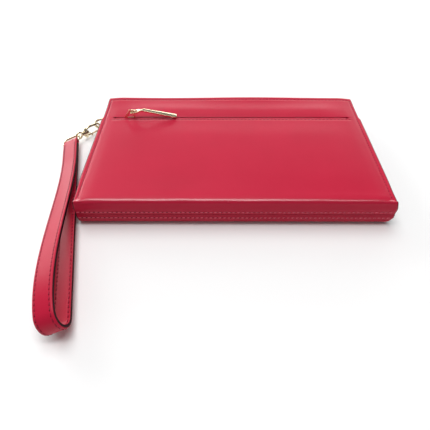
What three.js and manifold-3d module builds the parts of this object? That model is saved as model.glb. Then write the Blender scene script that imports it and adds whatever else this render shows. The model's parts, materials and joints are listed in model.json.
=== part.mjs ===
// A wristlet wallet: a leather bifold with a zipped front pocket, and a wrist strap on a lobster clasp.
// Millimetres, +Z up. The origin is the centre of the face that the closed wallet rests on.
// The spine runs along X at the -Y side, and the wallet opens at the +Y side.
import * as THREE from "three";
import { mergeVertices } from "three/addons/utils/BufferGeometryUtils.js";
import Module from "manifold-3d";

const wasm = await Module();
wasm.setup();

// Driving dimensions of the closed wallet.
const width = 190;
const depth = 117;
const spineHeight = 19;
const leather = 1.1;
const layerGap = 0.15;
const edgeInset = 1.2;
const cornerRadius = 3;

// The two fold lines of the spine, just inside its outer corners.
const spineY = -depth / 2;
const foldY = spineY + leather;
const lowerFoldZ = leather;
const upperFoldZ = spineHeight - leather;
const foldClearance = 1.2;
const coverTilt = THREE.MathUtils.degToRad(1.2);
const coverLength = depth - leather;

// The zip, measured along the cover from its fold line.
const slotCentre = 88.4;
const slotWidth = 2;
const slotHalfLength = 86.5;
const sliderX = -73.5;
const bridgeHeight = 6.4;
const bridgeWidth = 0.7;
const pullPivotX = 0.8;
const pullPivotHeight = 4.4;
const pullLength = 33;
const pullKneeX = 8.6;
const pullKneeRise = 2.6;
const pullThickness = 1.2;

// Card slots.
const cardLeafWidth = 88;
const cardLeafHeights = [84, 74, 64];
const cardLeafThickness = 0.55;
const columnCentre = 46.5;

// Ring, clasp and strap.
const ringBar = new THREE.Vector3(-91.5, 41, 5.6);
const ringRadius = 6.2;
const ringWire = 0.9;
const ringArcX = 7;
const hookContactAngle = THREE.MathUtils.degToRad(40);
const claspHeading = THREE.MathUtils.degToRad(52);
const claspSlope = THREE.MathUtils.degToRad(5);
const hookInner = 2.6;
const hookOuter = 4.1;
const hookThickness = 2.6;
const hookDrop = 1.45;
const eyeCentre = -15.85;
const eyeInner = 1.8;
const eyeWire = 0.7;
const strapHeading = THREE.MathUtils.degToRad(12);
const strapRoll = THREE.MathUtils.degToRad(19.5);
const strapRingHalf = 6.6;
const strapRingReach = 5.5;
const strapRingCorner = 3.4;
const strapRingWire = 0.8;
const strapLength = 155.5;
const strapWidth = 11;
const strapLayer = 0.75;
const strapBendRadius = 7;
const strapRingContact = THREE.MathUtils.degToRad(48);

const finish = (color, roughness, metalness = 0) =>
  new THREE.MeshStandardMaterial({ color, roughness, metalness });
const finishes = {
  leather: () => finish(0xc8324e, 0.45),
  lining: () => finish(0x2b2327, 0.9),
  innerLeather: () => finish(0xb82c46, 0.5),
  board: () => finish(0x8f7a66, 0.95),
  metal: () => finish(0xd9c9a3, 0.22, 1),
  tape: () => finish(0xa8203f, 0.9),
};

const node = (name, geometry, material) => {
  const mesh = new THREE.Mesh(geometry, material);
  mesh.name = name;
  return mesh;
};

// Booleans on closed three.js geometry.
function toSolid(geometry) {
  const bare = geometry.clone();
  bare.deleteAttribute("normal");
  bare.deleteAttribute("uv");
  const merged = mergeVertices(bare, 1e-4);
  return new wasm.Manifold(
    new wasm.Mesh({
      numProp: 3,
      vertProperties: merged.attributes.position.array,
      triVerts: new Uint32Array(merged.index.array),
    }),
  );
}
function toGeometry(solid) {
  const mesh = solid.getMesh();
  return new THREE.BufferGeometry()
    .setAttribute("position", new THREE.BufferAttribute(mesh.vertProperties, 3))
    .setIndex(new THREE.BufferAttribute(mesh.triVerts, 1));
}
const join = (...geometries) =>
  toGeometry(geometries.map(toSolid).reduce((whole, part) => whole.add(part)));
const cut = (geometry, ...tools) =>
  toGeometry(tools.map(toSolid).reduce((left, tool) => left.subtract(tool), toSolid(geometry)));

const common = (first, second) => toGeometry(toSolid(first).intersect(toSolid(second)));

// A rounded rectangle in XY, from (x0, y0) to (x1, y1).
function roundedRectangle(x0, y0, x1, y1, radius) {
  const shape = new THREE.Shape();
  shape.moveTo(x0 + radius, y0);
  shape.lineTo(x1 - radius, y0);
  shape.absarc(x1 - radius, y0 + radius, radius, -Math.PI / 2, 0);
  shape.absarc(x1 - radius, y1 - radius, radius, 0, Math.PI / 2);
  shape.absarc(x0 + radius, y1 - radius, radius, Math.PI / 2, Math.PI);
  shape.absarc(x0 + radius, y0 + radius, radius, Math.PI, 1.5 * Math.PI);
  return shape;
}
const slab = (shape, z0, z1) =>
  new THREE.ExtrudeGeometry(shape, {
    depth: z1 - z0,
    bevelEnabled: false,
    curveSegments: 4,
  }).translate(0, 0, z0);
const sheet = (x0, y0, x1, y1, z0, z1, radius = 1) => slab(roundedRectangle(x0, y0, x1, y1, radius), z0, z1);
const box = (x0, y0, z0, x1, y1, z1) =>
  new THREE.BoxGeometry(x1 - x0, y1 - y0, z1 - z0).translate((x0 + x1) / 2, (y0 + y1) / 2, (z0 + z1) / 2);

// An outline in XZ given a thickness along Y, centred.
function upright(shape, thickness, segments = 10) {
  return new THREE.ExtrudeGeometry(shape, { depth: thickness, bevelEnabled: false, curveSegments: segments })
    .translate(0, 0, -thickness / 2)
    .rotateX(Math.PI / 2);
}

// A round wire along an open curve.
function wire(curve, radius, steps, sides = 10) {
  const section = new THREE.Shape().absarc(0, 0, radius, 0, 2 * Math.PI);
  return new THREE.ExtrudeGeometry(section, {
    steps,
    extrudePath: curve,
    curveSegments: sides,
    bevelEnabled: false,
  });
}
// A cylinder along X from x0 to x1.
const rod = (x0, x1, radius, sides = 16) =>
  new THREE.CylinderGeometry(radius, radius, x1 - x0, sides)
    .rotateZ(Math.PI / 2)
    .translate((x0 + x1) / 2, 0, 0);

const wallet = new THREE.Group();

// Back half: it lies on the table and carries the strap's ring.
const backStack = { stiffener: 1.25, lining: 2, pocketPanel: 2.45, leaves: 3.2 };
const halfWidth = width / 2;
const openY = depth / 2;
const backStartY = foldY + foldClearance;
const innerStartY = foldY + 3.4;

function cardLeaves(prefix, group, farY, direction, levels, leafFinish) {
  for (const [side, x] of [["left", -columnCentre], ["right", columnCentre]]) {
    levels.forEach(([z0, z1], index) => {
      const reach = farY + direction * cardLeafHeights[index];
      const geometry = sheet(
        x - cardLeafWidth / 2, Math.min(farY, reach),
        x + cardLeafWidth / 2, Math.max(farY, reach),
        z0, z1, 2,
      );
      group.add(node(`${prefix}_card_leaf_${side}_${index + 1}`, geometry, leafFinish()));
    });
  }
}

function backHalf() {
  const group = new THREE.Group();
  group.add(
    node(
      "back_leather",
      sheet(-halfWidth, backStartY, halfWidth, openY, 0, leather, cornerRadius),
      finishes.leather(),
    ),
  );
  const x = halfWidth - edgeInset;
  const layers = [
    ["back_stiffener", backStack.stiffener, 0.6, finishes.board],
    ["back_lining", backStack.lining, 0.3, finishes.lining],
    ["bill_pocket_panel", backStack.pocketPanel, 0.6, finishes.innerLeather],
  ];
  for (const [name, z, thickness, make] of layers) {
    const far = name === "bill_pocket_panel" ? openY - 7 : openY - edgeInset;
    group.add(node(name, sheet(-x, innerStartY, x, far, z, z + thickness, 2), make()));
  }
  const step = cardLeafThickness + layerGap;
  const levels = cardLeafHeights.map((_, i) => [
    backStack.leaves + i * step,
    backStack.leaves + i * step + cardLeafThickness,
  ]);
  cardLeaves("back", group, innerStartY + 0.4, 1, levels, finishes.innerLeather);
  return group;
}
wallet.add(backHalf());

// The magnetic snap's two halves meet in the middle of the opening edge.
const snapY = 44;
const snapRadius = 7;
const snapBase = backStack.pocketPanel + 0.6 + layerGap;
function snapSocket() {
  const profile = [
    [0, 0], [snapRadius, 0], [snapRadius, 2], [snapRadius - 0.8, 3.4], [3.6, 3.4], [3.6, 1], [0, 1],
  ].map(([r, z]) => new THREE.Vector2(r, z));
  const turned = new THREE.LatheGeometry(profile, 24).rotateX(Math.PI / 2);
  const mesh = node("snap_socket", turned, finishes.metal());
  mesh.position.set(0, snapY, snapBase);
  return mesh;
}
wallet.add(snapSocket());

// Spine: two leather strips that meet at the middle seam, and the lining behind them.
const spineEnd = 0.9;
function spine() {
  const group = new THREE.Group();
  const middle = spineHeight / 2;
  const strips = [
    ["spine_lower_leather", lowerFoldZ + spineEnd, middle - layerGap, spineY, foldY, finishes.leather],
    ["spine_upper_leather", middle + layerGap, upperFoldZ - spineEnd, spineY, foldY, finishes.leather],
    ["spine_lining", lowerFoldZ + 1.2, upperFoldZ - 1.2, foldY + layerGap, foldY + 0.75, finishes.lining],
  ];
  for (const [name, z0, z1, y0, y1, make] of strips) {
    group.add(node(name, box(-halfWidth, y0, z0, halfWidth, y1, z1), make()));
  }
  return group;
}
wallet.add(spine());

// Front half, in a group at the upper fold line: +Y runs along the cover and its outer face is at +leather.
const front = new THREE.Group();
front.position.set(0, foldY, upperFoldZ);
front.rotation.x = -coverTilt;
wallet.add(front);
const atDepth = (d) => leather - d;
const frontStack = { innerLining: 4, stiffener: 4.45, lining: 5.2, leaves: 5.85 };
const rimDepth = frontStack.stiffener - layerGap;

function frontLeather() {
  const plate = sheet(-halfWidth, foldClearance, halfWidth, coverLength, 0, leather, cornerRadius);
  const slot = box(
    -slotHalfLength, slotCentre - slotWidth / 2, -1,
    slotHalfLength, slotCentre + slotWidth / 2, leather + 1,
  );
  const rim = 1.1;
  const bottom = atDepth(rimDepth);
  const overlap = 0.5;
  const left = box(-halfWidth, foldClearance + 4, bottom, -halfWidth + rim, coverLength - 4, overlap);
  const right = box(halfWidth - rim, foldClearance + 4, bottom, halfWidth, coverLength - 4, overlap);
  const far = box(-halfWidth + 4, coverLength - rim, bottom, halfWidth - 4, coverLength, overlap);
  return node("front_leather", cut(join(plate, left, right, far), slot), finishes.leather());
}
front.add(frontLeather());

function frontLayers() {
  const x = halfWidth - edgeInset;
  const start = 3.4;
  const end = coverLength - edgeInset;
  const flat = (name, d, thickness, y0, y1, make, reach = x) =>
    front.add(node(name, sheet(-reach, y0, reach, y1, atDepth(d + thickness), atDepth(d), 1), make()));
  flat("pocket_lining_outer", 1.3, 0.3, 6, slotCentre - 9, finishes.lining, halfWidth - 3);
  flat(
    "pocket_lining_inner",
    frontStack.innerLining,
    0.3,
    6,
    slotCentre + 10,
    finishes.lining,
    halfWidth - 3,
  );
  flat("front_stiffener", frontStack.stiffener, 0.6, start, end, finishes.board);
  flat("front_lining", frontStack.lining, 0.5, start, end, finishes.innerLeather);
  const step = cardLeafThickness + layerGap;
  const levels = cardLeafHeights.map((_, i) => [
    atDepth(frontStack.leaves + i * step + cardLeafThickness),
    atDepth(frontStack.leaves + i * step),
  ]);
  cardLeaves("front", front, 93, -1, levels, finishes.innerLeather);
}
frontLayers();

// The snap's upper half: a round case under the cover's lining, and a post that enters the socket.
function snapUpperHalf() {
  const caseDepth = 3.7;
  const postRadius = 2.9;
  const postReach = 1.8;
  const casing = [
    [0, -caseDepth], [snapRadius - 0.8, -caseDepth], [snapRadius, 1 - caseDepth], [snapRadius, 0], [0, 0],
  ];
  const postTop = -caseDepth - 0.3;
  const postBottom = postTop - postReach + 0.3;
  const post = [[0, postBottom], [postRadius, postBottom], [postRadius, postTop], [0, postTop]];
  for (const [name, profile] of [["snap_case", casing], ["snap_stud", post]]) {
    const points = profile.map(([r, z]) => new THREE.Vector2(r, z));
    const mesh = node(name, new THREE.LatheGeometry(points, 24).rotateX(Math.PI / 2), finishes.metal());
    mesh.position.set(0, snapY - foldY, atDepth(frontStack.lining + 0.5 + layerGap));
    front.add(mesh);
  }
}
snapUpperHalf();

// Zip: two tapes, two rows of teeth and the end stops. The rows leave a channel for the slider's neck.
const toothRow = { near: 0.6, far: 2.2, top: 1.8, bottom: 3.2 };
function zipChain() {
  const x = slotHalfLength + 3;
  for (const [side, sign] of [["upper", 1], ["lower", -1]]) {
    const across = (near, far) => [slotCentre + sign * near, slotCentre + sign * far].sort((a, b) => a - b);
    const [tape0, tape1] = across(toothRow.far + layerGap, 9);
    front.add(
      node(`zip_tape_${side}`, sheet(-x, tape0, x, tape1, atDepth(2.7), atDepth(2.3), 0.5), finishes.tape()),
    );
    const [tooth0, tooth1] = across(toothRow.near, toothRow.far);
    front.add(
      node(
        `zip_teeth_${side}`,
        box(
          -slotHalfLength + 4, tooth0, atDepth(toothRow.bottom),
          slotHalfLength - 4, tooth1, atDepth(toothRow.top),
        ),
        finishes.metal(),
      ),
    );
  }
  for (const [side, sign] of [["left", -1], ["right", 1]]) {
    const centre = sign * (slotHalfLength - 2.2);
    front.add(
      node(
        `zip_stop_${side}`,
        box(
          centre - 1.4, slotCentre - toothRow.far, atDepth(toothRow.bottom),
          centre + 1.4, slotCentre + toothRow.far, atDepth(toothRow.top),
        ),
        finishes.metal(),
      ),
    );
  }
}
zipChain();

// Slider: two plates joined by a neck between the rows, and a bridge that stands up through the slot.
function zipSlider() {
  const half = 4.2;
  const neck = 0.4;
  const lip = 0.4;
  const top = atDepth(1.25);
  const topUnder = atDepth(1.65);
  const bottom = atDepth(3.75);
  const bottomUpper = atDepth(3.35);
  const right = [
    [half, top], [half, topUnder - lip], [half - 0.7, topUnder - lip], [half - 0.7, topUnder],
    [neck, topUnder], [neck, bottomUpper], [half - 0.7, bottomUpper], [half - 0.7, bottomUpper + lip],
    [half, bottomUpper + lip], [half, bottom],
  ];
  const left = right.map(([y, z]) => [-y, z]).reverse();
  const section = new THREE.Shape([...right, ...left].map(([y, z]) => new THREE.Vector2(y, z)));
  const length = 11;
  const body = new THREE.ExtrudeGeometry(section, { depth: length, bevelEnabled: false })
    .rotateX(Math.PI / 2)
    .rotateZ(Math.PI / 2)
    .translate(-length / 2, 0, 0);
  // The bridge's outline and window in XZ.
  const peak = leather + bridgeHeight;
  const arch = new THREE.Shape([
    new THREE.Vector2(-4.6, top - 0.2), new THREE.Vector2(-4.6, leather + 0.8), new THREE.Vector2(-0.6, peak),
    new THREE.Vector2(2.6, peak), new THREE.Vector2(3.4, peak - 1), new THREE.Vector2(3.4, top - 0.2),
  ]);
  arch.holes.push(
    new THREE.Path([
      new THREE.Vector2(-2.4, leather + 0.4), new THREE.Vector2(2.1, leather + 0.4),
      new THREE.Vector2(2.1, peak - 1.2), new THREE.Vector2(0, peak - 1.2),
    ]),
  );
  const bridge = upright(arch, bridgeWidth);
  const mesh = node("zip_slider_body", join(body, bridge), finishes.metal());
  mesh.position.set(sliderX, slotCentre, 0);
  return mesh;
}
front.add(zipSlider());

// Pull: a bar on a cranked neck, whose eye straddles the bridge. The bar's end rests on the cover.
function zipPull() {
  const half = pullThickness / 2;
  const rise = pullKneeRise;
  const side = new THREE.Shape([
    new THREE.Vector2(-half, -half), new THREE.Vector2(1.2, -half), new THREE.Vector2(pullKneeX, rise - half),
    new THREE.Vector2(pullLength, -half), new THREE.Vector2(pullLength, half),
    new THREE.Vector2(pullKneeX, rise + half), new THREE.Vector2(0.8, half), new THREE.Vector2(-half, half),
  ]);
  const eyeHalf = 2.1;
  const neckHalfWidth = 1;
  const rightEdge = [
    [-half, -eyeHalf], [4.8, -eyeHalf], [6.2, -neckHalfWidth], [pullKneeX - 0.6, -neckHalfWidth],
    [pullKneeX + 0.6, -1.6], [pullLength - 0.8, -2.1], [pullLength, -1.4],
  ];
  const leftEdge = rightEdge.map(([x, y]) => [x, -y]).reverse();
  const plan = new THREE.Shape([...rightEdge, ...leftEdge].map(([x, y]) => new THREE.Vector2(x, y)));
  plan.holes.push(
    new THREE.Path([
      new THREE.Vector2(half, -0.85), new THREE.Vector2(4.2, -0.85),
      new THREE.Vector2(4.2, 0.85), new THREE.Vector2(half, 0.85),
    ]),
  );
  const tall = 8;
  const outline = new THREE.ExtrudeGeometry(plan, { depth: tall, bevelEnabled: false });
  outline.translate(0, 0, -tall / 2);
  const mesh = node("zip_pull", common(upright(side, 2 * eyeHalf + 1), outline), finishes.metal());
  mesh.position.set(sliderX + pullPivotX, slotCentre, leather + pullPivotHeight);
  const endClearance = 0.3;
  mesh.rotation.y = Math.asin((pullPivotHeight - half - endClearance) / pullLength);
  return mesh;
}
front.add(zipPull());

// Ring at the wallet's left side: a bar held in a folded leather tab, and an arc outside the edge.
function sideRing() {
  const path = new THREE.CurvePath();
  const legEnd = -ringArcX;
  const upperStart = new THREE.Vector3(0, ringRadius, 0);
  const upperEnd = new THREE.Vector3(legEnd, ringRadius, 0);
  path.add(new THREE.LineCurve3(upperStart, upperEnd));
  const arc = [];
  const turns = 12;
  for (let i = 0; i <= turns; i++) {
    const angle = Math.PI / 2 + (Math.PI * i) / turns;
    arc.push(new THREE.Vector3(legEnd + ringRadius * Math.cos(angle), ringRadius * Math.sin(angle), 0));
  }
  for (let i = 0; i < turns; i++) path.add(new THREE.LineCurve3(arc[i], arc[i + 1]));
  const lowerStart = new THREE.Vector3(legEnd, -ringRadius, 0);
  const lowerEnd = new THREE.Vector3(0, -ringRadius, 0);
  path.add(new THREE.LineCurve3(lowerStart, lowerEnd));
  const bar = new THREE.CylinderGeometry(ringWire, ringWire, 2 * ringRadius + 1.2, 10);
  const mesh = node("side_ring", join(wire(path, ringWire, 28), bar), finishes.metal());
  mesh.position.copy(ringBar);
  return mesh;
}
wallet.add(sideRing());

function sideTab() {
  const inner = ringWire + 0.2;
  const outer = inner + 0.8;
  const tail = 9;
  const floorZ = backStack.pocketPanel + 0.6 + layerGap - ringBar.z;
  const shape = new THREE.Shape();
  shape.moveTo(tail, floorZ);
  shape.lineTo(tail, floorZ + 1.7);
  shape.lineTo(3.2, floorZ + 1.7);
  shape.lineTo(0, outer);
  shape.absarc(0, 0, outer, Math.PI / 2, Math.PI * 1.5, false);
  shape.lineTo(2, floorZ);
  const hole = new THREE.Path().absarc(0, 0, inner, 0, 2 * Math.PI);
  shape.holes.push(hole);
  const tabWidth = 9.6;
  const settings = { depth: tabWidth, bevelEnabled: false, curveSegments: 8 };
  const geometry = new THREE.ExtrudeGeometry(shape, settings)
    .translate(0, 0, -tabWidth / 2)
    .rotateX(Math.PI / 2);
  const mesh = node("side_tab", geometry, finishes.leather());
  mesh.position.copy(ringBar);
  return mesh;
}
wallet.add(sideTab());

// Clasp, in a group at the ring's wire: +X points towards the wallet and +Z is the hook's back.
const hookContact = new THREE.Vector3(
  ringBar.x - ringArcX - ringRadius * Math.cos(hookContactAngle),
  ringBar.y - ringRadius * Math.sin(hookContactAngle),
  ringBar.z,
);
const clasp = new THREE.Group();
clasp.rotation.order = "ZYX";
clasp.rotation.set(0, claspSlope, claspHeading);
clasp.position.copy(hookContact);
wallet.add(clasp);
const claspBody = new THREE.Group();
claspBody.position.z = -hookDrop;
clasp.add(claspBody);

const baseFront = -8.6;
const baseBack = -11.4;
const gatePivot = new THREE.Vector2(-9.8, -2.7);
const noseEnd = -0.9;
function claspHook() {
  const shape = new THREE.Shape();
  shape.moveTo(baseBack, hookOuter - 1);
  shape.lineTo(baseBack + 1, hookOuter);
  shape.lineTo(0, hookOuter);
  shape.absarc(0, 0, hookOuter, Math.PI / 2, noseEnd, true);
  shape.absarc(0, 0, hookInner, noseEnd, Math.PI / 2, false);
  shape.lineTo(baseFront, hookInner);
  shape.lineTo(baseFront, -1.6);
  shape.lineTo(baseBack, -1.6);
  const bore = rod(baseBack - 1, baseFront + 1, 1.1);
  // Two ears below the base carry the gate's pin.
  const ears = [-1, 1].map((side) =>
    box(
      baseBack, side > 0 ? 0.75 : -hookThickness / 2, gatePivot.y - 1.1,
      baseFront, side > 0 ? hookThickness / 2 : -0.75, -1.5,
    ),
  );
  const pinHole = new THREE.CylinderGeometry(0.55, 0.55, 6, 12).translate(gatePivot.x, 0, gatePivot.y);
  const body = join(upright(shape, hookThickness), ...ears);
  return node("clasp_hook", cut(body, bore, pinHole), finishes.metal());
}
function claspGate() {
  const tip = 1.3;
  const lever = new THREE.Shape([
    new THREE.Vector2(baseBack + 0.3, gatePivot.y + 0.7),
    new THREE.Vector2(baseBack + 0.3, gatePivot.y - 0.7),
    new THREE.Vector2(-6.4, -3.6), new THREE.Vector2(-5.2, -3.9), new THREE.Vector2(-3.6, -3.9),
    new THREE.Vector2(-2.4, -3.6), new THREE.Vector2(tip, -3.5), new THREE.Vector2(tip - 0.6, -2.1),
    new THREE.Vector2(-7, -2.1), new THREE.Vector2(baseFront, gatePivot.y + 0.7),
  ]);
  lever.holes.push(new THREE.Path().absarc(gatePivot.x, gatePivot.y, 0.5, 0, 2 * Math.PI));
  return node("clasp_gate", upright(lever, 1.3, 6), finishes.metal());
}
function gatePin() {
  const pin = new THREE.CylinderGeometry(0.4, 0.4, hookThickness + 0.2, 12);
  pin.translate(gatePivot.x, 0, gatePivot.y);
  return node("gate_pin", pin, finishes.metal());
}
function gateSpring() {
  const points = [];
  const turns = 3;
  const stepsPerTurn = 8;
  for (let i = 0; i <= turns * stepsPerTurn; i++) {
    const angle = (2 * Math.PI * i) / stepsPerTurn;
    const height = -1.7 + (3.7 * i) / (turns * stepsPerTurn);
    points.push(new THREE.Vector3(-5.2 + 0.75 * Math.cos(angle), 0.75 * Math.sin(angle), height));
  }
  return node("gate_spring", wire(new THREE.CatmullRomCurve3(points), 0.2, 24, 6), finishes.metal());
}
function swivelEye() {
  const ring = new THREE.TorusGeometry(eyeInner + eyeWire, eyeWire, 8, 20);
  ring.rotateX(Math.PI / 2).translate(eyeCentre, 0, 0);
  const collar = rod(eyeCentre + eyeInner + 0.3, baseBack - 0.25, 1.5);
  const post = rod(eyeCentre + eyeInner + 0.3, baseFront + 0.9, 0.85);
  const head = rod(baseFront + 0.2, baseFront + 1, 1.6);
  return node("swivel_eye", join(ring, collar, post, head), finishes.metal());
}
claspBody.add(claspHook(), claspGate(), gatePin(), gateSpring(), swivelEye());

// Strap, in a group at the middle of its ring's bar: +X across it, +Y towards the clasp, +Z out of its plane.
const strap = new THREE.Group();
strap.rotation.order = "ZYX";
strap.rotation.set(0, -strapRoll, strapHeading);
clasp.updateMatrixWorld(true);
const strapWirePoint = clasp.localToWorld(
  new THREE.Vector3(eyeCentre - eyeInner + strapRingWire + 0.2, 0, 0.3 - hookDrop),
);
const alongRing = new THREE.Vector3(
  strapRingHalf - strapRingCorner * (1 - Math.sin(strapRingContact)),
  strapRingReach - strapRingCorner * (1 - Math.cos(strapRingContact)),
  0,
).applyEuler(strap.rotation);
strap.position.copy(strapWirePoint).sub(alongRing);
wallet.add(strap);

function strapRing() {
  const points = [new THREE.Vector3(strapRingHalf, 0, 0)];
  const cornerSteps = 4;
  for (const side of [1, -1]) {
    for (let i = 0; i <= cornerSteps; i++) {
      const turn = (Math.PI / 2) * (side > 0 ? i / cornerSteps : 1 - i / cornerSteps);
      const across = strapRingHalf - strapRingCorner * (1 - Math.cos(turn));
      const along = strapRingReach - strapRingCorner * (1 - Math.sin(turn));
      points.push(new THREE.Vector3(side * across, along, 0));
    }
  }
  points.push(new THREE.Vector3(-strapRingHalf, 0, 0));
  const path = new THREE.CurvePath();
  for (let i = 1; i < points.length; i++) path.add(new THREE.LineCurve3(points[i - 1], points[i]));
  const bar = rod(-strapRingHalf - 0.6, strapRingHalf + 0.6, strapRingWire, 10);
  return node("strap_ring", join(wire(path, strapRingWire, 30), bar), finishes.metal());
}
strap.add(strapRing());

// The strap's loop in its own plane: l runs away from the clasp and n out of the plane.
// The halves lie together along the neck, then the upper one arches over to the bend.
const neckLength = 22;
const neckHalf = 0.9;
function loopOutline(offset, fromNeck) {
  const points = [];
  const bend = new THREE.Vector2(strapLength - strapBendRadius, strapBendRadius - neckHalf);
  const leave = THREE.MathUtils.degToRad(74);
  const radius = strapBendRadius + offset;
  const on = (angle) =>
    new THREE.Vector2(bend.x + radius * Math.cos(angle), bend.y + radius * Math.sin(angle));
  if (!fromNeck) {
    for (let i = 0; i <= 10; i++) {
      const angle = 1.5 * Math.PI - (Math.PI * i) / 10;
      const out = neckHalf + offset;
      points.push(new THREE.Vector2(out * Math.cos(angle), out * Math.sin(angle)));
    }
  }
  const archEnd = bend.clone().add(
    new THREE.Vector2(strapBendRadius * Math.cos(leave), strapBendRadius * Math.sin(leave)),
  );
  const arch = new THREE.CubicBezierCurve(
    new THREE.Vector2(neckLength, neckHalf),
    new THREE.Vector2(strapLength * 0.42, 2.2),
    new THREE.Vector2(archEnd.x - 30 * Math.sin(leave), archEnd.y + 30 * Math.cos(leave)),
    archEnd,
  );
  const archSteps = 22;
  for (let i = 0; i < archSteps; i++) {
    const t = i / archSteps;
    const tangent = arch.getTangent(t);
    points.push(arch.getPoint(t).add(new THREE.Vector2(-tangent.y, tangent.x).multiplyScalar(offset)));
  }
  const bendSteps = 16;
  for (let i = 0; i <= bendSteps; i++) points.push(on(leave - ((leave + Math.PI / 2) * i) / bendSteps));
  if (fromNeck) points.push(new THREE.Vector2(neckLength, -neckHalf - offset));
  return points;
}
// Turns an outline in (l, n) into a band across the strap.
function band(shape) {
  const turn = new THREE.Matrix4().makeBasis(
    new THREE.Vector3(0, -1, 0), new THREE.Vector3(0, 0, 1), new THREE.Vector3(-1, 0, 0),
  );
  return new THREE.ExtrudeGeometry(shape, { depth: strapWidth, bevelEnabled: false })
    .translate(0, 0, -strapWidth / 2)
    .applyMatrix4(turn);
}
function strapOuterLeather() {
  const shape = new THREE.Shape(loopOutline(strapLayer + 0.1, false).reverse());
  shape.holes.push(new THREE.Path(loopOutline(0.1, false)));
  return node("strap_outer_leather", band(shape), finishes.leather());
}
function strapInnerLeather() {
  const start = 3.6;
  const outline = loopOutline(-0.1, true);
  const shape = new THREE.Shape(
    [
      new THREE.Vector2(start, -neckHalf + 0.1),
      new THREE.Vector2(start, neckHalf - 0.1),
      ...outline,
    ].reverse(),
  );
  const openFrom = 26;
  const hole = loopOutline(-strapLayer, true).filter((p) => p.x > openFrom);
  const openFirst = new THREE.Vector2(openFrom, -0.02);
  const openLast = new THREE.Vector2(openFrom + 6, -0.1);
  shape.holes.push(new THREE.Path([openFirst, ...hole, openLast]));
  return node("strap_inner_leather", band(shape), finishes.leather());
}
strap.add(strapOuterLeather(), strapInnerLeather());

export default wallet;
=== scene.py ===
import json
import math

import bmesh
import bpy
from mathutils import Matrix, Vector


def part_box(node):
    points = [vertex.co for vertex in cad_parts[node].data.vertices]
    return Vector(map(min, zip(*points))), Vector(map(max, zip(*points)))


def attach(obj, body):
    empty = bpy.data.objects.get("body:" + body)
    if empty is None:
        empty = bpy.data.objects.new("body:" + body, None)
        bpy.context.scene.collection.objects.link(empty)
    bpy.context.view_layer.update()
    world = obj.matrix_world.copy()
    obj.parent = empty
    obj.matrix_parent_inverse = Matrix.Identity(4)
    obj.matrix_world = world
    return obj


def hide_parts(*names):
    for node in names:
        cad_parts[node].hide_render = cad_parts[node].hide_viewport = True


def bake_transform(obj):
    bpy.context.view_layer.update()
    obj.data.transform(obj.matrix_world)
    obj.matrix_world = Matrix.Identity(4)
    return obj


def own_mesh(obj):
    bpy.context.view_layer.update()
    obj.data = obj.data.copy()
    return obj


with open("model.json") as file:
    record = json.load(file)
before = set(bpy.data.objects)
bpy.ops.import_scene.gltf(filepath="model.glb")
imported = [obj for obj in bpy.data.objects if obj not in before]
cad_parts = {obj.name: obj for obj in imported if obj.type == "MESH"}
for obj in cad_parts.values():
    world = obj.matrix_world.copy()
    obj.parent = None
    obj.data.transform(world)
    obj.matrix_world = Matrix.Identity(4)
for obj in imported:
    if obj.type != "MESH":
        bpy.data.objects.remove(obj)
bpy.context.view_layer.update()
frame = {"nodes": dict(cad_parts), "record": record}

mm = 0.001
scene = bpy.context.scene
nodes = frame["nodes"]
behaviour = frame["record"]["behaviour"]
joints = {joint["name"]: joint for joint in behaviour["joints"]}


# Small helpers for meshes

def smoothStep(low, high, value):
    t = min(max((value - low) / (high - low), 0.0), 1.0)
    return t * t * (3 - 2 * t)


def bump(centre, spread, value):
    return math.exp(-(((value - centre) / spread) ** 2))


def makePiece(name, verts, faces, materials, faceMaterials=None):
    mesh = bpy.data.meshes.new(name)
    mesh.from_pydata([tuple(v) for v in verts], [], faces)
    for material in materials:
        mesh.materials.append(material)
    if faceMaterials:
        mesh.polygons.foreach_set("material_index", faceMaterials)
    piece = bpy.data.objects.new(name, mesh)
    scene.collection.objects.link(piece)
    return piece


def tidyMesh(piece, mergeDistance=0.004 * mm):
    work = bmesh.new()
    work.from_mesh(piece.data)
    bmesh.ops.remove_doubles(work, verts=work.verts, dist=mergeDistance)
    bmesh.ops.dissolve_degenerate(work, edges=work.edges, dist=mergeDistance)
    bmesh.ops.recalc_face_normals(work, faces=work.faces)
    work.to_mesh(piece.data)
    work.free()


def shadeSmooth(piece, sharpAngle=38):
    limit = math.radians(sharpAngle)
    work = bmesh.new()
    work.from_mesh(piece.data)
    for face in work.faces:
        face.smooth = True
    for edge in work.edges:
        edge.smooth = len(edge.link_faces) == 2 and edge.calc_face_angle(0.0) < limit
    work.to_mesh(piece.data)
    work.free()


def settle(piece):
    graph = bpy.context.evaluated_depsgraph_get()
    graph.update()
    finished = bpy.data.meshes.new_from_object(piece.evaluated_get(graph))
    piece.modifiers.clear()
    piece.data = finished


def bevelEdges(piece, width, segments=2, angle=30):
    modifier = piece.modifiers.new("rounded edges", "BEVEL")
    modifier.width = width
    modifier.segments = segments
    modifier.limit_method = "ANGLE"
    modifier.angle_limit = math.radians(angle)


def softCopy(name, nodeName, body, material, width, segments=2, sharpAngle=38):
    source = nodes[nodeName]
    piece = bpy.data.objects.new(name, source.data.copy())
    scene.collection.objects.link(piece)
    piece.data.materials.clear()
    piece.data.materials.append(material)
    tidyMesh(piece)
    bevelEdges(piece, width, segments)
    settle(piece)
    shadeSmooth(piece, sharpAngle)
    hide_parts(nodeName)
    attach(piece, body)


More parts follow.
